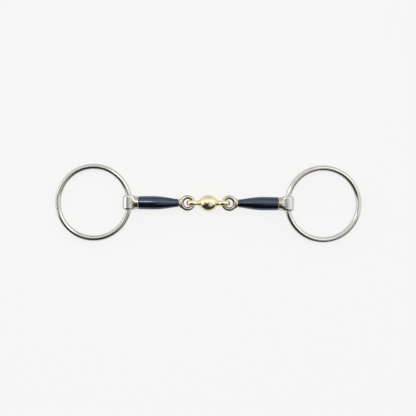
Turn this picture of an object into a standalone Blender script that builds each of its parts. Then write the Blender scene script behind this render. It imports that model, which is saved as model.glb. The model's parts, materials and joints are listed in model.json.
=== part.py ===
"""Loose-ring snaffle bit: two rings, two sleeved arms and a double-jointed bead link.

The bit lies flat: +X along the mouthpiece, +Z up, Z = 0 is the surface it rests on.
The right side is described, and the left side is the same turned half round.
"""

import math

import bmesh
import bpy
from mathutils import Matrix

# Driving dimensions, in metres. X values are measured from the middle of the link.
GAP = 0.0003  # running gap between touching pieces

RING_OUTSIDE = 0.0710
RING_WIRE = 0.0052
RING_CENTRE_X = 0.1052

BORE_AXIS_X = 0.0726
BARREL_DIAMETER = 0.0118
BARREL_LENGTH = 0.0135
BARREL_BORE = 0.0068
BARREL_EDGE = 0.0011
BORE_FLARE = 0.0004

COLLAR_FACE_X = 0.0641
COLLAR_END_X = 0.0685
COLLAR_DIAMETER = 0.0120
COLLAR_CHAMFER = 0.0003
SOCKET_DEPTH = 0.0016

SLEEVE_INNER_X = 0.0275
SLEEVE_WIDEST_X = 0.0510
SLEEVE_INNER_DIAMETER = 0.0073
SLEEVE_WIDEST_DIAMETER = 0.0124
SLEEVE_OUTER_DIAMETER = 0.0119
SLEEVE_FULLNESS = 0.72  # below 1 fattens the taper towards its thin end

STEM_DIAMETER = 0.0048
NECK_DIAMETER = 0.0069
WEB_ROOT_X = 0.0215
WEB_ROOT_WIDTH = 0.0138
WEB_CURVE = 1.05  # above 1 hollows the web's sides

EYE_CENTRE_X = 0.0189
EYE_MIDLINE_RADIUS = 0.0054
EYE_WIRE = 0.0036

LINK_EYE_X = 0.0140
LINK_EYE_MIDLINE_RADIUS = 0.00445
LINK_EYE_THICKNESS = 0.0036  # across the wire, in the plane of the eye
LINK_EYE_WIDTH = 0.0050  # along the pivot

BEAD_LENGTH = 0.0180
BEAD_WIDTH = 0.0157
BEAD_HEIGHT = 0.0124
BEAD_ROUNDING = 0.62  # 0.5 is an ellipse, more draws the ends in
BEAD_NECK_DIAMETER = 0.0050
BEAD_NECK_END_X = 0.0093

# The link's eyes touch the surface, and the sleeves all but touch it.
AXIS_HEIGHT = LINK_EYE_MIDLINE_RADIUS + LINK_EYE_THICKNESS / 2
RING_MIDLINE_RADIUS = (RING_OUTSIDE - RING_WIRE) / 2
RING_REACH = RING_CENTRE_X - BORE_AXIS_X
# The rings hang down from their barrels until their far edges touch the surface too.
RING_DROOP = math.asin((AXIS_HEIGHT - RING_WIRE / 2) / (RING_REACH + RING_MIDLINE_RADIUS))

SIDES = {"right": 0.0, "left": math.pi}  # turn of each side about the vertical
SMOOTH_ANGLE = math.radians(35)

# Finishes: colour, metallic, roughness.
RING_STEEL = ((0.80, 0.80, 0.80), 1.0, 0.10)
ARM_STEEL = ((0.66, 0.60, 0.54), 1.0, 0.20)
BLUED_IRON = ((0.055, 0.080, 0.150), 0.9, 0.28)
LINK_ALLOY = ((0.83, 0.70, 0.40), 1.0, 0.18)


def clear_scene():
    for old in list(bpy.data.objects):
        bpy.data.objects.remove(old, do_unlink=True)


def finished(mesh, finish):
    """Give a mesh a material of its own."""
    colour, metallic, roughness = finish
    material = bpy.data.materials.new(f"{mesh.name}_metal")
    material.use_nodes = True
    shader = material.node_tree.nodes["Principled BSDF"]
    shader.inputs["Base Color"].default_value = (*colour, 1.0)
    shader.inputs["Metallic"].default_value = metallic
    shader.inputs["Roughness"].default_value = roughness
    mesh.materials.append(material)
    return mesh


def arc(centre, radii, start_deg, end_deg, steps):
    """Points of an elliptical arc in a profile plane."""
    points = []
    for i in range(steps + 1):
        angle = math.radians(start_deg + (end_deg - start_deg) * i / steps)
        points.append((
            centre[0] + radii[0] * math.cos(angle),
            centre[1] + radii[1] * math.sin(angle),
        ))
    return points


def closed_mesh(bm, name):
    bmesh.ops.recalc_face_normals(bm, faces=bm.faces)
    mesh = bpy.data.meshes.new(name)
    bm.to_mesh(mesh)
    bm.free()
    mesh.shade_smooth()
    mesh.set_sharp_from_angle(angle=SMOOTH_ANGLE)
    return mesh


def turned(name, profile, steps):
    """Spin a closed (radius, height) profile about Z. Points at radius 0 become poles."""
    bm = bmesh.new()
    verts = [bm.verts.new((radius, 0, height)) for radius, height in profile]
    pairs = list(zip(verts, verts[1:] + verts[:1]))
    on_axis = [radius < 1e-9 for radius, _ in profile]
    for i, pair in enumerate(pairs):
        if not (on_axis[i] and on_axis[(i + 1) % len(profile)]):
            bm.edges.new(pair)
    bmesh.ops.spin(
        bm, geom=bm.verts[:] + bm.edges[:], cent=(0, 0, 0), axis=(0, 0, 1),
        angle=2 * math.pi, steps=steps, use_merge=True,
    )
    bmesh.ops.remove_doubles(bm, verts=bm.verts, dist=1e-6)
    return closed_mesh(bm, name)


def lofted(name, sections, steps):
    """Join elliptical sections (x, half width, half height) along X and cap both ends."""
    bm = bmesh.new()
    loops = []
    for x, half_width, half_height in sections:
        loops.append([
            bm.verts.new((x, y, z))
            for y, z in arc((0, 0), (half_width, half_height), 0, 360, steps)[:-1]
        ])
    for one, two in zip(loops, loops[1:]):
        for i in range(steps):
            j = (i + 1) % steps
            bm.faces.new((one[i], one[j], two[j], two[i]))
    bm.faces.new(loops[0])
    bm.faces.new(loops[-1])
    return closed_mesh(bm, name)


def placed(name, mesh, parent, matrix=Matrix.Identity(4)):
    piece = bpy.data.objects.new(name, mesh)
    bpy.context.collection.objects.link(piece)
    piece.parent = parent
    piece.matrix_local = matrix
    return piece


def pivot(name, parent, location):
    """An empty on a joint's axis."""
    empty = bpy.data.objects.new(name, None)
    bpy.context.collection.objects.link(empty)
    empty.parent = parent
    empty.location = location
    return empty


def boolean(target, tool, operation):
    tool.hide_render = True
    tool.display_type = "WIRE"
    modifier = target.modifiers.new(operation.lower(), "BOOLEAN")
    modifier.operation = operation
    modifier.object = tool
    modifier.solver = "EXACT"


ALONG_X = Matrix.Rotation(math.pi / 2, 4, "Y")  # turns a profile's height into +X
ALONG_Y = Matrix.Rotation(-math.pi / 2, 4, "X")  # turns a profile's height into +Y


def ring_mesh():
    wire = RING_WIRE / 2
    profile = arc((RING_MIDLINE_RADIUS, 0), (wire, wire), 0, 360, 12)[:-1]
    return turned("ring", profile, 64)


def eye_mesh():
    wire = EYE_WIRE / 2
    profile = arc((EYE_MIDLINE_RADIUS, 0), (wire, wire), 0, 360, 12)[:-1]
    return turned("eye", profile, 32)


def barrel_mesh():
    half, outside, bore = BARREL_LENGTH / 2, BARREL_DIAMETER / 2, BARREL_BORE / 2
    edge, flare = BARREL_EDGE, BORE_FLARE
    profile = []
    profile += arc((outside - edge, half - edge), (edge, edge), 0, 90, 3)
    profile += arc((bore + flare, half - flare), (flare, flare), 90, 180, 2)
    profile += arc((bore + flare, flare - half), (flare, flare), 180, 270, 2)
    profile += arc((outside - edge, edge - half), (edge, edge), 270, 360, 3)
    return turned("barrel", profile, 32)


def collar_mesh():
    """The collar from its inner face, at height 0, to where the barrel's saddle cuts it."""
    length, outside = COLLAR_END_X - COLLAR_FACE_X, COLLAR_DIAMETER / 2
    socket = STEM_DIAMETER / 2 + GAP
    profile = [
        (0, SOCKET_DEPTH),
        (0, length),
        (outside - COLLAR_CHAMFER, length),
        (outside, length - COLLAR_CHAMFER),
        (outside, COLLAR_CHAMFER),
        (outside - COLLAR_CHAMFER, 0),
        (socket, 0),
        (socket, SOCKET_DEPTH),
    ]
    return turned("collar", profile, 32)


def sleeve_radius(x):
    """Outer radius of the sleeve: a full taper up to its widest place, then nearly straight."""
    inner, widest, outer = (
        diameter / 2
        for diameter in (SLEEVE_INNER_DIAMETER, SLEEVE_WIDEST_DIAMETER, SLEEVE_OUTER_DIAMETER)
    )
    if x < SLEEVE_WIDEST_X:
        along = (x - SLEEVE_INNER_X) / (SLEEVE_WIDEST_X - SLEEVE_INNER_X)
        rise = (1 - math.cos(math.pi * along**SLEEVE_FULLNESS)) / 2
        return inner + (widest - inner) * rise
    along = (x - SLEEVE_WIDEST_X) / (COLLAR_FACE_X - SLEEVE_WIDEST_X)
    return widest - (widest - outer) * along**2


def sleeve_mesh():
    """The sleeve with its thin end at height 0, bored right through for the stem."""
    bore = STEM_DIAMETER / 2 + GAP
    end_x = COLLAR_FACE_X - GAP
    steps = 16
    stations = [SLEEVE_INNER_X + (end_x - SLEEVE_INNER_X) * i / steps for i in range(steps + 1)]
    profile = [(bore, end_x - SLEEVE_INNER_X), (bore, 0)]
    profile += [(sleeve_radius(x), x - SLEEVE_INNER_X) for x in stations]
    return turned("sleeve", profile, 32)


def core_mesh():
    """Web, neck and stem of an arm. The web is cut to the eye by its cutter."""
    neck, stem, eye_half = NECK_DIAMETER / 2, STEM_DIAMETER / 2, EYE_WIRE / 2
    shoulder_x = SLEEVE_INNER_X - GAP
    stem_end_x = COLLAR_FACE_X + SOCKET_DEPTH - GAP
    steps = 6
    sections = []
    for i in range(steps + 1):
        left = 1 - i / steps
        sections.append((
            shoulder_x + (WEB_ROOT_X - shoulder_x) * left,
            neck + (WEB_ROOT_WIDTH / 2 - neck) * left**WEB_CURVE,
            neck + (eye_half - neck) * left,
        ))
    sections += [(shoulder_x, stem, stem), (stem_end_x, stem, stem)]
    return lofted("core", sections, 24)


def eye_cutter_mesh():
    """Room for the arm's eye and everything inside it."""
    groove, tall = EYE_WIRE / 2 + GAP, EYE_WIRE * 2
    inside = EYE_MIDLINE_RADIUS
    profile = [(0, -tall), (inside, -tall)]
    profile += arc((inside, 0), (groove, groove), -90, 90, 12)
    profile += [(inside, tall), (0, tall)]
    return turned("eye_cutter", profile, 48)


def saddle_cutter_mesh():
    """Room for the ring barrel, which the collar saddles."""
    radius, half = BARREL_DIAMETER / 2 + GAP, BARREL_LENGTH
    return turned("saddle_cutter", [(0, -half), (radius, -half), (radius, half), (0, half)], 48)


def bead_mesh():
    """The bead with a short neck at each end, turned about height and then flattened."""
    half, widest, neck = BEAD_LENGTH / 2, BEAD_WIDTH / 2, BEAD_NECK_DIAMETER / 2
    steps = 10
    profile = [(0, -BEAD_NECK_END_X), (neck, -BEAD_NECK_END_X)]
    for i in range(-steps, steps + 1):
        x = half * math.sin(math.pi / 2 * i / steps)
        bulge = widest * max(1 - (x / half) ** 2, 0) ** BEAD_ROUNDING
        profile.append((max(bulge, neck), x))
    profile += [(neck, BEAD_NECK_END_X), (0, BEAD_NECK_END_X)]
    mesh = turned("bead", profile, 32)
    mesh.transform(Matrix.Diagonal((BEAD_HEIGHT / BEAD_WIDTH, 1, 1, 1)))
    return mesh


def link_eye_mesh():
    """An eye of the link, round its pivot, which is its height."""
    half_thickness, half_width = LINK_EYE_THICKNESS / 2, LINK_EYE_WIDTH / 2
    profile = arc(
        (LINK_EYE_MIDLINE_RADIUS, 0), (half_thickness, half_width), 0, 360, 12
    )[:-1]
    return turned("link_eye", profile, 32)


def build_link():
    root = pivot("link_frame", None, (0, 0, AXIS_HEIGHT))
    link = placed("lozenge_link", finished(bead_mesh(), LINK_ALLOY), root, ALONG_X)
    for side, turn in SIDES.items():
        at = Matrix.Rotation(turn, 4, "Z") @ Matrix.Translation((LINK_EYE_X, 0, 0))
        eye = placed(f"{side}_link_eye_tool", link_eye_mesh(), root, at @ ALONG_Y)
        boolean(link, eye, "UNION")


def build_side(side, turn, shared):
    """One arm with its eye, core, sleeve, collar and barrel, and its loose ring."""
    frame = pivot(f"{side}_frame", None, (0, 0, AXIS_HEIGHT))
    frame.rotation_euler.z = turn
    tilt = pivot(f"{side}_eye_tilt_axis", frame, (LINK_EYE_X, 0, 0))
    fold = pivot(f"{side}_arm_fold_axis", frame, (EYE_CENTRE_X, 0, 0))
    swing = pivot(f"{side}_ring_swing_axis", frame, (BORE_AXIS_X, 0, 0))

    def move(x, from_x=EYE_CENTRE_X):
        return Matrix.Translation((x - from_x, 0, 0))

    placed(f"{side}_eye_ring", shared["eye"], tilt, move(EYE_CENTRE_X, LINK_EYE_X))
    core = placed(f"{side}_arm_core", shared["core"], fold, move(0))
    placed(f"{side}_mouthpiece_sleeve", shared["sleeve"], fold, move(SLEEVE_INNER_X) @ ALONG_X)
    collar = placed(f"{side}_end_collar", shared["collar"], fold, move(COLLAR_FACE_X) @ ALONG_X)
    placed(f"{side}_ring_barrel", shared["barrel"], swing, ALONG_Y)
    droop = Matrix.Rotation(RING_DROOP, 4, "Y") @ Matrix.Translation((RING_REACH, 0, 0))
    placed(f"{side}_loose_ring", shared["ring"], swing, droop)

    boolean(core, placed(f"{side}_eye_cutter", shared["eye_cutter"], fold), "DIFFERENCE")
    saddle = placed(f"{side}_saddle_cutter", shared["saddle"], swing, ALONG_Y)
    boolean(collar, saddle, "DIFFERENCE")


def main():
    clear_scene()
    build_link()
    shared = {
        "ring": finished(ring_mesh(), RING_STEEL),
        "eye": finished(eye_mesh(), ARM_STEEL),
        "barrel": finished(barrel_mesh(), ARM_STEEL),
        "collar": finished(collar_mesh(), ARM_STEEL),
        "sleeve": finished(sleeve_mesh(), BLUED_IRON),
        "core": finished(core_mesh(), ARM_STEEL),
        "eye_cutter": eye_cutter_mesh(),
        "saddle": saddle_cutter_mesh(),
    }
    for side, turn in SIDES.items():
        build_side(side, turn, shared)


main()
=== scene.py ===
import json
import math

import bmesh
import bpy
import numpy as np
from mathutils import Matrix, Vector


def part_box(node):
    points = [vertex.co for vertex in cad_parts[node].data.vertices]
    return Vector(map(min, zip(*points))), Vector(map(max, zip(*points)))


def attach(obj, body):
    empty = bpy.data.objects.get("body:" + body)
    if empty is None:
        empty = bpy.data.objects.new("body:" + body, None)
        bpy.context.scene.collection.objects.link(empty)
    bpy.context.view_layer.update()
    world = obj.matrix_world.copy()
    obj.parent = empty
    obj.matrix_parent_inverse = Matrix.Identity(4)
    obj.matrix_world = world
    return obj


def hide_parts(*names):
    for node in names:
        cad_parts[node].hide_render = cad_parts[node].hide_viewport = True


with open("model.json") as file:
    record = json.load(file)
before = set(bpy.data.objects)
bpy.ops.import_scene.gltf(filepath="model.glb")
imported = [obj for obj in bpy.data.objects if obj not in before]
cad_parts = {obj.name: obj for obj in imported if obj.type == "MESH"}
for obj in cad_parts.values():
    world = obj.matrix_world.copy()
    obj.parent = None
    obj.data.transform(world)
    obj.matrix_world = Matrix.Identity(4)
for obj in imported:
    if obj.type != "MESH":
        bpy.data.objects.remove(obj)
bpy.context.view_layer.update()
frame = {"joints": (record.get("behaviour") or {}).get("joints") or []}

# ---------------------------------------------------------------------------
# Places and sizes, read from the CAD frame. X runs out from the middle of the link.
# ---------------------------------------------------------------------------

MM = 0.001


def span(node, axis):
    low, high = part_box(node)
    return low[axis], high[axis]


def middle(node, axis):
    low, high = span(node, axis)
    return (low + high) / 2


AXIS_Z = middle("lozenge_link", 2)
BORE_X = middle("right_ring_barrel", 0)
BARREL_RADIUS = span("right_ring_barrel", 0)[1] - BORE_X
BARREL_HALF = span("right_ring_barrel", 1)[1]
COLLAR_X = span("right_end_collar", 0)[0]
COLLAR_RADIUS = span("right_end_collar", 1)[1]
SLEEVE_IN_X, SLEEVE_OUT_X = span("right_mouthpiece_sleeve", 0)
SLEEVE_RADIUS = span("right_mouthpiece_sleeve", 1)[1]
EYE_X = middle("right_eye_ring", 0)
EYE_WIRE = span("right_eye_ring", 2)[1] - AXIS_Z
EYE_RADIUS = span("right_eye_ring", 0)[1] - EYE_X - EYE_WIRE
LINK_END_X = span("lozenge_link", 0)[1]
BEAD_HALF_WIDTH = span("lozenge_link", 1)[1]
JOINTS = {joint["name"]: joint for joint in frame["joints"]}
RING_CENTRE = Vector(JOINTS["right_ring_spin"]["pos_m"])
RING_AXIS = Vector(JOINTS["right_ring_spin"]["axis"]).normalized()
RING_OUTER_RADIUS = span("right_loose_ring", 1)[1]
LINK_EYE_X = JOINTS["right_eye_tilt"]["pos_m"][0]

# Details that the frame doesn't state.
RING_WIRE = 2.6 * MM
BORE_RADIUS = 3.4 * MM
BARREL_EDGE = 1.8 * MM
SADDLE_START_X = COLLAR_X + 2.2 * MM
SADDLE_SPREAD = 0.5 * MM
SADDLE_DIP = 0.9 * MM
MOUTH_EDGE = 0.7 * MM
SLEEVE_IN_RADIUS = 3.65 * MM
SLEEVE_OUT_RADIUS = 5.95 * MM
SLEEVE_WIDEST_X = 51 * MM
SLEEVE_FULLNESS = 0.72
STEM_RADIUS = 2.4 * MM
NECK_RADIUS = 3.45 * MM
WEB_SPREAD = 3.3 * MM
LINK_EYE_WIRE = 1.8 * MM
LINK_EYE_HALF_WIDTH = 2.5 * MM
BEAD_HALF = 9.0 * MM
BEAD_FLATNESS = 0.79
BEAD_ROUNDING = 0.62
BEAD_NECK = 2.75 * MM
NECK_GAP = 0.3 * MM  # between the arm's neck and its sleeve
COLLAR_GAP = 0.25 * MM  # between the stem's end and the collar's face

# How softly the shapes run into each other.
BARREL_BLEND = 1.0 * MM
COLLAR_FACE_EDGE = 0.5 * MM
SQUARENESS = 5  # added to a round section's power of 2 where it meets the barrel
WEB_EXPONENT = 0.95
WEB_BLEND = 0.7 * MM
NECK_EDGE = 0.3 * MM
STEM_BLEND = 0.2 * MM
BEAD_NECK_BLEND = 1.8 * MM
LINK_EYE_BLEND = 1.2 * MM

# Mesh fineness.
FIELD_STEP = 0.3 * MM
EYE_FIELD_STEP = 0.28 * MM
FIELD_HALF_HEIGHT = 7.5 * MM
EYE_FIELD_HALF_HEIGHT = 4 * MM
SETTLING_ROUNDS = 6
EVENING_SHARE = 0.6
SLEEVE_CHAMFER = 0.18 * MM
SLEEVE_LENGTH_STEPS = 90
SLEEVE_ROUND_STEPS = 128
SLEEVE_SHARP_ANGLE = 35
RING_WIRE_STEPS = 40
RING_ROUND_STEPS = 288

# Marks on the rings.
WELD_ANGLE = 1.9  # radians round a ring from its outermost point
DOT_COUNT = 7
DOT_PITCH = 2.0 * MM
DOT_RADIUS = 0.55 * MM
DOT_OFFSET = 1.0 * MM  # outwards from the wire's midline
HALF_TURN = Matrix.Rotation(math.pi, 4, "Z")
SIDES = {"right": Matrix.Identity(4), "left": HALF_TURN}


# ---------------------------------------------------------------------------
# Meshes: turned shapes, and shapes settled onto a smooth implicit form
# ---------------------------------------------------------------------------


def mesh_from(name, verts, faces):
    mesh = bpy.data.meshes.new(name)
    mesh.from_pydata([tuple(v) for v in verts], [], [tuple(f) for f in faces])
    bm = bmesh.new()
    bm.from_mesh(mesh)
    bmesh.ops.recalc_face_normals(bm, faces=bm.faces)
    bm.to_mesh(mesh)
    bm.free()
    mesh.shade_smooth()
    return mesh


def turned(name, profile, steps):
    """A closed (radius, height) profile spun about Z."""
    profile = np.array(profile)
    angles = 2 * math.pi * np.arange(steps) / steps
    verts = np.stack(
        [
            profile[None, :, 0] * np.cos(angles)[:, None],
            profile[None, :, 0] * np.sin(angles)[:, None],
            np.broadcast_to(profile[None, :, 1], (steps, len(profile))),
        ],
        axis=-1,
    ).reshape(-1, 3)
    count = len(profile)
    faces = []
    for i in range(steps):
        for j in range(count):
            here, along = i * count, (i + 1) % steps * count
            nxt = (j + 1) % count
            faces.append((here + j, along + j, along + nxt, here + nxt))
    return mesh_from(name, verts, faces)


def surface_net(field, low, high, step):
    """Quads on the zero level of a field, one vertex in each grid cell that it crosses."""
    axes = [np.arange(a, b + step, step) for a, b in zip(low, high)]
    grid = np.stack(np.meshgrid(*axes, indexing="ij"), axis=-1)
    value = field(grid)
    inside = value < 0
    shape = tuple(n - 1 for n in value.shape)
    total, count = np.zeros(shape + (3,)), np.zeros(shape)

    def corner(array, offset):
        return array[tuple(slice(o, o + n) for o, n in zip(offset, shape))]

    for axis in range(3):
        others = [k for k in range(3) if k != axis]
        for a in (0, 1):
            for b in (0, 1):
                start = [0, 0, 0]
                start[others[0]], start[others[1]] = a, b
                stop = list(start)
                stop[axis] = 1
                one, two = corner(value, start), corner(value, stop)
                crosses = (one < 0) != (two < 0)
                share = np.where(crosses, one / np.where(crosses, one - two, 1), 0)
                point = corner(grid, start).copy()
                point[..., axis] += share * step
                total += np.where(crosses[..., None], point, 0)
                count += crosses
    active = count > 0
    number = np.full(shape, -1)
    number[active] = np.arange(active.sum())
    verts = total[active] / count[active][:, None]
    faces = []
    for axis in range(3):
        u, v = [k for k in range(3) if k != axis]
        cut = [slice(1, -1)] * 3
        cut[axis] = slice(0, -1)
        nxt = list(cut)
        nxt[axis] = slice(1, None)
        change = inside[tuple(cut)] != inside[tuple(nxt)]
        index = np.argwhere(change) + [0 if k == axis else 1 for k in range(3)]
        quad = []
        for du, dv in ((-1, -1), (0, -1), (0, 0), (-1, 0)):
            cell = index.copy()
            cell[:, u] += du
            cell[:, v] += dv
            quad.append(number[tuple(cell.T)])
        faces.append(np.stack(quad, axis=-1))
    return verts, np.concatenate(faces)


def settled(name, field, low, high, step):
    """A surface net evened out and pulled back onto its field."""
    verts, faces = surface_net(field, low, high, step)
    ends = np.concatenate([faces[:, [0, 1]], faces[:, [1, 2]], faces[:, [2, 3]], faces[:, [3, 0]]])
    ends = np.concatenate([ends, ends[:, ::-1]])
    nudge = step * 0.05

    def slope(points):
        return np.stack(
            [
                (field(points + nudge * unit) - field(points - nudge * unit)) / (2 * nudge)
                for unit in np.eye(3)
            ],
            axis=-1,
        )

    for _ in range(SETTLING_ROUNDS):
        near, count = np.zeros_like(verts), np.zeros(len(verts))
        np.add.at(near, ends[:, 0], verts[ends[:, 1]])
        np.add.at(count, ends[:, 0], 1)
        verts = verts + EVENING_SHARE * (near / count[:, None] - verts)
        for _ in range(2):
            gradient = slope(verts)
            size = np.maximum((gradient**2).sum(-1, keepdims=True), 1e-3)
            move = field(verts)[:, None] * gradient / size
            verts = verts - np.clip(move, -step, step)
    return mesh_from(name, verts, faces)


def smooth_min(a, b, k):
    h = np.maximum(k - np.abs(a - b), 0) / k
    return np.minimum(a, b) - h * h * k / 4


def smooth_max(a, b, k):
    return -smooth_min(-a, -b, k)


def smooth_step(low, high, x):
    t = np.clip((x - low) / (high - low), 0, 1)
    return t * t * (3 - 2 * t)


def round_tube(radial, along, radius, half, edge):
    """A solid cylinder with rounded edges."""
    a, b = radial - (radius - edge), np.abs(along) - (half - edge)
    outside = np.hypot(np.maximum(a, 0), np.maximum(b, 0))
    return outside + np.minimum(np.maximum(a, b), 0) - edge


def tube_ring(radial, along, radius, half_radial, half_along):
    """A ring of elliptical wire."""
    scaled = np.hypot((radial - radius) / half_radial, along / half_along)
    return (scaled - 1) * min(half_radial, half_along)


def arm_end_field(p):
    """Collar and ring barrel in one: a round section that squares up and dips to the barrel."""
    x, y, z = p[..., 0], p[..., 1], p[..., 2] - AXIS_Z
    to_bore = np.hypot(x - BORE_X, z)
    barrel = round_tube(to_bore, y, BARREL_RADIUS, BARREL_HALF, BARREL_EDGE)
    toward = smooth_step(SADDLE_START_X, BORE_X - 1.0 * MM, x)
    half_y = COLLAR_RADIUS + SADDLE_SPREAD * toward
    half_z = COLLAR_RADIUS - SADDLE_DIP * toward
    power = 2 + SQUARENESS * toward**1.5
    section = ((np.abs(y) / half_y) ** power + (np.abs(z) / half_z) ** power) ** (1 / power)
    collar = (section - 1) * half_z
    collar = smooth_max(collar, COLLAR_X - x, COLLAR_FACE_EDGE)
    collar = np.maximum(collar, x - (BORE_X - 0.8 * MM))
    body = smooth_min(barrel, collar, BARREL_BLEND)
    return smooth_max(body, BORE_RADIUS - to_bore, MOUTH_EDGE)


def eye_field(p):
    """The arm's eye, drawn out into its neck and the stem inside the sleeve."""
    x, y, z = p[..., 0], p[..., 1], p[..., 2] - AXIS_Z
    to_eye = np.hypot(x - EYE_X, y)
    eye = tube_ring(to_eye, z, EYE_RADIUS, EYE_WIRE, EYE_WIRE)
    neck_end = SLEEVE_IN_X - NECK_GAP
    left = np.clip((neck_end - x) / (neck_end - EYE_X - 2 * MM), 0, 1)
    half_y = NECK_RADIUS + WEB_SPREAD * left**WEB_EXPONENT
    half_z = NECK_RADIUS + (EYE_WIRE - 0.1 * MM - NECK_RADIUS) * smooth_step(0.0, 0.45, left)
    web = (np.hypot(y / half_y, z / half_z) - 1) * half_z
    web = np.maximum(web, EYE_RADIUS - to_eye)
    web = np.maximum(web, EYE_X - x)
    web = smooth_max(web, x - neck_end, NECK_EDGE)
    stem = np.hypot(y, z) - STEM_RADIUS
    stem = np.maximum(stem, x - (COLLAR_X - COLLAR_GAP))
    stem = np.maximum(stem, neck_end - 1 * MM - x)
    return smooth_min(smooth_min(eye, web, WEB_BLEND), stem, STEM_BLEND)


def link_field(p):
    """The bead, drawn out at each end into an eye that stands on edge."""
    x, y, z = np.abs(p[..., 0]), p[..., 1], p[..., 2] - AXIS_Z
    around = np.hypot(y, z / BEAD_FLATNESS)
    share = np.clip(1 - (x / BEAD_HALF) ** 2, 1e-6, 1)
    bead = np.maximum(around - BEAD_HALF_WIDTH * share**BEAD_ROUNDING, x - BEAD_HALF)
    eye_radius = LINK_END_X - LINK_EYE_X - LINK_EYE_WIRE
    neck = np.maximum(around - BEAD_NECK, x - (LINK_EYE_X - eye_radius))
    body = smooth_min(bead, neck, BEAD_NECK_BLEND)
    to_eye = np.hypot(x - LINK_EYE_X, z)
    eye = tube_ring(to_eye, y, eye_radius, LINK_EYE_WIRE, LINK_EYE_HALF_WIDTH)
    return smooth_min(body, eye, LINK_EYE_BLEND)


def arm_end_mesh():
    low = (COLLAR_X - MM, -BARREL_HALF - MM, AXIS_Z - FIELD_HALF_HEIGHT)
    high = (BORE_X + BARREL_RADIUS + MM, BARREL_HALF + MM, AXIS_Z + FIELD_HALF_HEIGHT)
    return settled("arm_end", arm_end_field, low, high, FIELD_STEP)


def eye_mesh():
    reach = EYE_RADIUS + EYE_WIRE + MM
    low = (EYE_X - reach, -reach, AXIS_Z - EYE_FIELD_HALF_HEIGHT)
    high = (COLLAR_X + MM, reach, AXIS_Z + EYE_FIELD_HALF_HEIGHT)
    return settled("eye", eye_field, low, high, EYE_FIELD_STEP)


def link_mesh():
    low = (-LINK_END_X - MM, -BEAD_HALF_WIDTH - MM, AXIS_Z - FIELD_HALF_HEIGHT)
    high = (LINK_END_X + MM, BEAD_HALF_WIDTH + MM, AXIS_Z + FIELD_HALF_HEIGHT)
    return settled("link", link_field, low, high, FIELD_STEP)


def sleeve_radius(x):
    if x < SLEEVE_WIDEST_X:
        along = (x - SLEEVE_IN_X) / (SLEEVE_WIDEST_X - SLEEVE_IN_X)
        rise = (1 - math.cos(math.pi * along**SLEEVE_FULLNESS)) / 2
        return SLEEVE_IN_RADIUS + (SLEEVE_RADIUS - SLEEVE_IN_RADIUS) * rise
    along = (x - SLEEVE_WIDEST_X) / (SLEEVE_OUT_X - SLEEVE_WIDEST_X)
    return SLEEVE_RADIUS - (SLEEVE_RADIUS - SLEEVE_OUT_RADIUS) * along**2


def sleeve_mesh():
    """Turned about the arm's axis, with a fine chamfer at each end and a bore for the stem."""
    bore = STEM_RADIUS + NECK_GAP
    chamfer = SLEEVE_CHAMFER
    out_radius = sleeve_radius(SLEEVE_OUT_X)
    profile = [(bore, SLEEVE_OUT_X), (bore, SLEEVE_IN_X + chamfer), (bore + chamfer, SLEEVE_IN_X)]
    profile += [(SLEEVE_IN_RADIUS - chamfer, SLEEVE_IN_X)]
    for i in range(SLEEVE_LENGTH_STEPS + 1):
        share = i / SLEEVE_LENGTH_STEPS
        x = SLEEVE_IN_X + chamfer + (SLEEVE_OUT_X - SLEEVE_IN_X - 2 * chamfer) * share
        profile.append((sleeve_radius(x), x))
    profile += [(out_radius - chamfer, SLEEVE_OUT_X)]
    mesh = turned("sleeve", profile, SLEEVE_ROUND_STEPS)
    mesh.transform(Matrix.Translation((0, 0, AXIS_Z)) @ Matrix.Rotation(math.pi / 2, 4, "Y"))
    mesh.set_sharp_from_angle(angle=math.radians(SLEEVE_SHARP_ANGLE))
    return mesh


def ring_mesh():
    midline = RING_OUTER_RADIUS - RING_WIRE
    profile = []
    for i in range(RING_WIRE_STEPS):
        angle = 2 * math.pi * i / RING_WIRE_STEPS
        profile.append((midline + RING_WIRE * math.cos(angle), RING_WIRE * math.sin(angle)))
    mesh = turned("ring", profile, RING_ROUND_STEPS)
    mesh.transform(ring_matrix())
    return mesh


def ring_matrix():
    """From a ring flat at the origin, its +X side outwards, to where the right ring lies."""
    outward = Vector((RING_AXIS.z, 0, -RING_AXIS.x))
    across = RING_AXIS.cross(outward)
    turn = Matrix((outward, across, RING_AXIS)).transposed().to_4x4()
    return Matrix.Translation(RING_CENTRE) @ turn


# ---------------------------------------------------------------------------
# Materials
# ---------------------------------------------------------------------------


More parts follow.
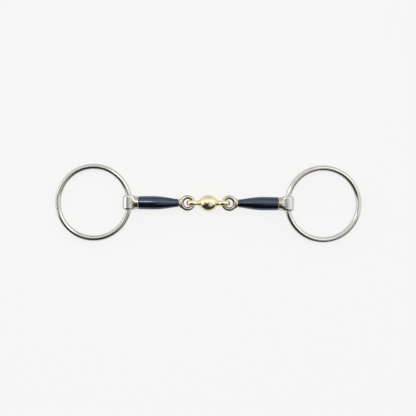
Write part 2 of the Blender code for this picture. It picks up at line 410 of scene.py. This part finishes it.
class Nodes:
    """A small helper that adds nodes to a material and links them by name."""

    def __init__(self, name):
        self.material = bpy.data.materials.new(name)
        self.material.use_nodes = True
        self.tree = self.material.node_tree
        self.shader = self.tree.nodes["Principled BSDF"]
        self.place = self.add("ShaderNodeTexCoord").outputs["Object"]

    def add(self, kind, **settings):
        node = self.tree.nodes.new(kind)
        for key, value in settings.items():
            setattr(node, key, value)
        return node

    def link(self, output, socket):
        self.tree.links.new(output, socket)

    def stretched(self, scale):
        mapping = self.add("ShaderNodeMapping")
        mapping.inputs["Scale"].default_value = scale
        self.link(self.place, mapping.inputs["Vector"])
        return mapping.outputs["Vector"]

    def noise(self, scale, detail=4.0, roughness=0.5, vector=None):
        node = self.add("ShaderNodeTexNoise")
        node.inputs["Scale"].default_value = scale
        node.inputs["Detail"].default_value = detail
        node.inputs["Roughness"].default_value = roughness
        self.link(vector or self.place, node.inputs["Vector"])
        return node.outputs["Fac"]

    def ramp(self, factor, stops):
        node = self.add("ShaderNodeValToRGB")
        elements = node.color_ramp.elements
        while len(elements) < len(stops):
            elements.new(0.5)
        for element, (position, colour) in zip(elements, stops):
            element.position = position
            element.color = (*colour, 1.0)
        self.link(factor, node.inputs["Fac"])
        return node.outputs["Color"]

    def range(self, factor, low, high):
        node = self.add("ShaderNodeMapRange")
        node.inputs["From Min"].default_value = 0.3
        node.inputs["From Max"].default_value = 0.7
        node.inputs["To Min"].default_value = low
        node.inputs["To Max"].default_value = high
        self.link(factor, node.inputs["Value"])
        return node.outputs["Result"]

    def calc(self, operation, one, two=0.0):
        node = self.add("ShaderNodeMath", operation=operation)
        for socket, value in zip(node.inputs, (one, two)):
            if isinstance(value, (int, float)):
                socket.default_value = value
            else:
                self.link(value, socket)
        return node.outputs[0]

    def fade(self, value, low, high, strength=1.0):
        """Smoothly from 0 at low to strength at high."""
        node = self.add("ShaderNodeMapRange", interpolation_type="SMOOTHSTEP")
        node.inputs["From Min"].default_value = low
        node.inputs["From Max"].default_value = high
        node.inputs["To Max"].default_value = strength
        self.link(value, node.inputs["Value"])
        return node.outputs["Result"]

    def parts(self):
        """Distance out from the middle of the bit, and X and Y themselves."""
        split = self.add("ShaderNodeSeparateXYZ")
        self.link(self.place, split.inputs[0])
        return self.calc("ABSOLUTE", split.outputs["X"]), split.outputs["X"], split.outputs["Y"]

    def length(self, one, two):
        squares = self.calc("MULTIPLY", one, one), self.calc("MULTIPLY", two, two)
        return self.calc("SQRT", self.calc("ADD", *squares))

    def mix(self, factor, one, two):
        node = self.add("ShaderNodeMix", data_type="RGBA")
        self.link(factor, node.inputs["Factor"])
        for socket, colour in ((node.inputs[6], one), (node.inputs[7], two)):
            if isinstance(colour, tuple):
                socket.default_value = (*colour, 1.0)
            else:
                self.link(colour, socket)
        return node.outputs[2]

    def bump(self, height, strength, distance):
        node = self.add("ShaderNodeBump")
        node.inputs["Strength"].default_value = strength
        node.inputs["Distance"].default_value = distance
        self.link(height, node.inputs["Height"])
        self.link(node.outputs["Normal"], self.shader.inputs["Normal"])

    def metal(self):
        self.shader.inputs["Metallic"].default_value = 1.0


def ring_steel():
    """Mirror-polished steel with faint wipe marks, a weld seam and a row of punched dots."""
    n = Nodes("ring_steel")
    n.metal()
    cloud = n.noise(90, 5, 0.6)
    steel = n.ramp(cloud, [(0.30, (0.56, 0.55, 0.52)), (0.70, (0.67, 0.66, 0.63))])
    out, x, y = n.parts()
    across = n.calc("SUBTRACT", out, RING_CENTRE.x)
    midline = RING_OUTER_RADIUS - RING_WIRE
    angle = n.calc("ARCTAN2", y, across)
    from_weld = n.calc("ABSOLUTE", n.calc("SUBTRACT", angle, WELD_ANGLE))
    steel = n.mix(n.fade(from_weld, 0.009, 0.004, 0.5), steel, (0.30, 0.28, 0.24))
    # The dots' own places: along the wire, in steps, and across it.
    steps = n.calc("MULTIPLY", angle, midline / DOT_PITCH)
    along = n.calc("MULTIPLY", n.calc("SUBTRACT", steps, n.calc("ROUND", steps)), DOT_PITCH)
    wide = n.calc("SUBTRACT", n.length(across, y), midline + DOT_OFFSET)
    dots = n.fade(n.length(along, wide), DOT_RADIUS * 1.2, DOT_RADIUS * 0.7)
    dots = n.calc("MULTIPLY", dots, n.calc("LESS_THAN", n.calc("ABSOLUTE", steps), DOT_COUNT / 2))
    dots = n.calc("MULTIPLY", dots, n.calc("LESS_THAN", x, 0.0))
    n.link(n.mix(dots, steel, (0.13, 0.11, 0.06)), n.shader.inputs["Base Color"])
    n.link(n.range(n.noise(220, 6, 0.6), 0.05, 0.14), n.shader.inputs["Roughness"])
    lines = n.noise(1.0, 3, 0.5, n.stretched((900, 260, 900)))
    n.bump(n.calc("SUBTRACT", n.calc("MULTIPLY", lines, 0.05), dots), 0.6, 0.04 * MM)
    return n.material


def arm_steel():
    """Polished warm-grey steel, whiter at the barrels, with painted shade darkening the inside of the
    eyes.
    """
    n = Nodes("arm_steel")
    n.metal()
    cloud = n.noise(160, 5, 0.6)
    straw = n.ramp(cloud, [(0.30, (0.48, 0.44, 0.39)), (0.70, (0.60, 0.56, 0.50))])
    white = n.ramp(cloud, [(0.30, (0.60, 0.60, 0.59)), (0.70, (0.70, 0.70, 0.69))])
    out, _, y = n.parts()
    metal = n.mix(n.fade(out, COLLAR_X + 2.5 * MM, COLLAR_X + 6.0 * MM), straw, white)
    from_eye = n.length(n.calc("SUBTRACT", out, EYE_X), y)
    # Painted shade: the base colour darkens towards the inner edge of each eye's hole, standing in for the
    # shade and dark reflection inside it.
    painted_eye_shade = n.fade(from_eye, EYE_RADIUS - 0.2 * MM, EYE_RADIUS - 1.3 * MM, 0.85)
    n.link(n.mix(painted_eye_shade, metal, (0.17, 0.15, 0.10)), n.shader.inputs["Base Color"])
    n.link(n.range(n.noise(300, 6, 0.6), 0.10, 0.22), n.shader.inputs["Roughness"])
    n.bump(n.noise(1.0, 3, 0.5, n.stretched((2600, 500, 500))), 0.07, 0.02 * MM)
    return n.material


def blued_iron():
    """Heat-blued iron: navy with slate clouds and fine turning lines."""
    n = Nodes("blued_iron")
    n.metal()
    cloud = n.noise(45, 6, 0.6)
    blue = n.ramp(
        cloud,
        [(0.30, (0.060, 0.063, 0.100)), (0.52, (0.072, 0.086, 0.126)), (0.72, (0.082, 0.108, 0.145))],
    )
    n.link(blue, n.shader.inputs["Base Color"])
    n.link(n.range(n.noise(260, 6, 0.6), 0.11, 0.20), n.shader.inputs["Roughness"])
    n.bump(n.noise(1.0, 3, 0.5, n.stretched((2600, 300, 300))), 0.05, 0.02 * MM)
    return n.material


def link_alloy():
    """Pale yellow alloy, polished by wear, with a little tarnish."""
    n = Nodes("link_alloy")
    n.metal()
    cloud = n.noise(130, 5, 0.6)
    n.link(
        n.ramp(cloud, [(0.28, (0.76, 0.69, 0.42)), (0.60, (0.86, 0.81, 0.55)), (0.8, (0.92, 0.89, 0.68))]),
        n.shader.inputs["Base Color"],
    )
    n.link(n.range(n.noise(260, 6, 0.6), 0.08, 0.20), n.shader.inputs["Roughness"])
    n.bump(n.noise(1.0, 3, 0.5, n.stretched((900, 1400, 900))), 0.07, 0.02 * MM)
    return n.material


# ---------------------------------------------------------------------------
# Pieces
# ---------------------------------------------------------------------------


def piece(name, mesh, material, body, replaced, turn=Matrix.Identity(4)):
    own = mesh.copy()
    own.name = name
    own.transform(turn)
    own.materials.clear()
    own.materials.append(material)
    made = bpy.data.objects.new(name, own)
    bpy.context.scene.collection.objects.link(made)
    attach(made, body)
    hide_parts(*replaced)


def build_pieces():
    steel, arm, iron, alloy = ring_steel(), arm_steel(), blued_iron(), link_alloy()
    arm_end, eye, sleeve, ring = arm_end_mesh(), eye_mesh(), sleeve_mesh(), ring_mesh()
    piece("bead_link", link_mesh(), alloy, "link", ["lozenge_link"])
    for side, turn in SIDES.items():
        piece(f"{side}_arm_eye", eye, arm, f"{side}_arm",
              [f"{side}_eye_ring", f"{side}_arm_core"], turn)
        piece(f"{side}_blued_sleeve", sleeve, iron, f"{side}_arm",
              [f"{side}_mouthpiece_sleeve"], turn)
        piece(f"{side}_arm_end", arm_end, arm, f"{side}_arm",
              [f"{side}_end_collar", f"{side}_ring_barrel"], turn)
        piece(f"{side}_ring", ring, steel, f"{side}_ring",
              [f"{side}_loose_ring"], turn)


# ---------------------------------------------------------------------------
# Studio: pale floor, soft sky that is dark on one side, a small lamp, camera straight above
# ---------------------------------------------------------------------------


FLOOR_SIZE = 6
FLOOR_DROP = 0.02 * MM
FLOOR_GREY = 0.12
FLOOR_GLOW = 0.83


def build_floor():
    bpy.ops.mesh.primitive_plane_add(size=FLOOR_SIZE, location=(0, 0, -FLOOR_DROP))
    floor = bpy.context.object
    floor.name = "floor"
    material = bpy.data.materials.new("floor")
    material.use_nodes = True
    shader = material.node_tree.nodes["Principled BSDF"]
    shader.inputs["Base Color"].default_value = (FLOOR_GREY, FLOOR_GREY, FLOOR_GREY, 1)
    shader.inputs["Roughness"].default_value = 1.0
    shader.inputs["Specular IOR Level"].default_value = 0.0
    shader.inputs["Emission Color"].default_value = (1, 1, 1, 1)
    shader.inputs["Emission Strength"].default_value = FLOOR_GLOW
    floor.data.materials.append(material)


# The sky is laid out by where a polished ball seen from above would show it: (0, 0) is
# straight up, and 0.7 from the middle is the horizon. Y runs up the picture.
SKY_ALONG_Y = [
    (-1.0, 0.06), (-0.55, 0.05), (-0.10, 0.04), (0.0, 0.08), (0.06, 0.70),
    (0.12, 1.10), (0.35, 1.05), (0.55, 0.85), (0.64, 0.60), (1.0, 0.60),
]
SKY_ALONG_X = [
    (-1.0, 1.0), (-0.80, 1.3), (-0.48, 1.8), (-0.38, 0.45), (-0.14, 0.42), (-0.05, 1.00),
    (0.34, 0.96), (0.44, 1.28), (0.56, 1.20), (0.68, 0.88), (1.0, 0.85),
]
# Soft lights: centre, reach in x and y, and brightness.
SKY_LIGHTS = [
    ((-0.40, 0.18), (0.24, 0.12), 0.4),
    ((0.24, 0.20), (0.30, 0.15), 1.0),
    ((0.22, -0.17), (0.28, 0.17), 0.75),
]
SKY_PEAK = 4.0


def build_sky():
    world = bpy.data.worlds.new("studio")
    bpy.context.scene.world = world
    world.use_nodes = True
    tree = world.node_tree

    def add(kind, **settings):
        node = tree.nodes.new(kind)
        for key, value in settings.items():
            setattr(node, key, value)
        return node

    def wire(value, socket):
        if isinstance(value, bpy.types.NodeSocket):
            tree.links.new(value, socket)
        else:
            socket.default_value = value

    def vector(operation, one, two=(0, 0, 0)):
        node = add("ShaderNodeVectorMath", operation=operation)
        wire(one, node.inputs[0])
        wire(two, node.inputs[1])
        return node.outputs["Value" if operation == "LENGTH" else "Vector"]

    def sums(operation, one, two=0.0):
        node = add("ShaderNodeMath", operation=operation)
        wire(one, node.inputs[0])
        wire(two, node.inputs[1])
        return node.outputs[0]

    def stretch(value, low, high, to_low=0.0, to_high=1.0, smooth=False):
        node = add("ShaderNodeMapRange", interpolation_type="SMOOTHSTEP" if smooth else "LINEAR")
        for name, number in zip(("From Min", "From Max", "To Min", "To Max"),
                                (low, high, to_low, to_high)):
            node.inputs[name].default_value = number
        wire(value, node.inputs["Value"])
        return node.outputs["Result"]

    def curve(value, stops):
        node = add("ShaderNodeValToRGB")
        elements = node.color_ramp.elements
        while len(elements) < len(stops):
            elements.new(0.5)
        for element, (place, level) in zip(elements, stops):
            element.position = (place + 1) / 2
            element.color = (*[level / SKY_PEAK] * 3, 1)
        wire(stretch(value, -1, 1), node.inputs["Fac"])
        return node.outputs["Color"]

    direction = add("ShaderNodeTexCoord").outputs["Generated"]
    ball = vector("NORMALIZE", vector("ADD", direction, (0, 0, 1)))
    split = add("ShaderNodeSeparateXYZ")
    wire(ball, split.inputs[0])
    across, along = split.outputs["X"], split.outputs["Y"]
    width = sums("MAXIMUM", sums("ABSOLUTE", across), 0.08)
    steepness = sums("DIVIDE", sums("ABSOLUTE", along), width)
    sideways = stretch(steepness, 0.10, 0.45, 1.0, 0.0, smooth=True)
    level = add("ShaderNodeMix", data_type="RGBA")
    wire(sideways, level.inputs["Factor"])
    wire(curve(along, SKY_ALONG_Y), level.inputs[6])
    wire(curve(across, SKY_ALONG_X), level.inputs[7])
    total = level.outputs[2]
    for centre, reach, brightness in SKY_LIGHTS:
        offset = vector("SUBTRACT", ball, (*centre, 0))
        offset = vector("MULTIPLY", offset, (1 / reach[0], 1 / reach[1], 0))
        spot = stretch(vector("LENGTH", offset), 0.35, 1.0, brightness / SKY_PEAK, 0.0, smooth=True)
        total = vector("ADD", total, spot)
    tint = vector("MULTIPLY", total, (1.0, 0.985, 0.95))
    background = tree.nodes["Background"]
    wire(tint, background.inputs["Color"])
    background.inputs["Strength"].default_value = SKY_PEAK


LAMP_PLACE = Vector((-82, 98, 266)) * MM
LAMP_WIDTH = 46 * MM
LAMP_HEIGHT = 34 * MM
LAMP_RADIANCE = 9.0


def build_lamp():
    """A small soft lamp over the left side, which draws a bright streak along each sleeve."""
    data = bpy.data.lights.new("lamp", "AREA")
    data.shape = "RECTANGLE"
    data.size = LAMP_WIDTH
    data.size_y = LAMP_HEIGHT
    data.energy = LAMP_RADIANCE * math.pi * LAMP_WIDTH * LAMP_HEIGHT
    lamp = bpy.data.objects.new("lamp", data)
    lamp.location = LAMP_PLACE
    lamp.rotation_euler = lamp.location.to_track_quat("Z", "Y").to_euler()
    bpy.context.scene.collection.objects.link(lamp)


PIXEL = 0.915 * MM  # what one pixel covers at the arms' height
FRAME_PIXELS = 416
SENSOR = 36.0
LENS = 100.0
CAMERA_X = -0.3 * MM
CAMERA_Y = -4.4 * MM
CAMERA_ROLL = 0.42  # degrees


def build_camera():
    """Straight above, where the bit is small and a little high in the square frame."""
    distance = LENS * FRAME_PIXELS * PIXEL / SENSOR
    data = bpy.data.cameras.new("camera")
    data.lens = LENS
    data.sensor_width = SENSOR
    data.clip_end = 10
    camera = bpy.data.objects.new("camera", data)
    camera.location = (CAMERA_X, CAMERA_Y, AXIS_Z + distance)
    camera.rotation_euler = (0, 0, math.radians(CAMERA_ROLL))
    bpy.context.scene.collection.objects.link(camera)
    bpy.context.scene.camera = camera


build_pieces()
build_floor()
build_sky()
build_lamp()
build_camera()
bpy.context.scene.view_settings.view_transform = "Standard"
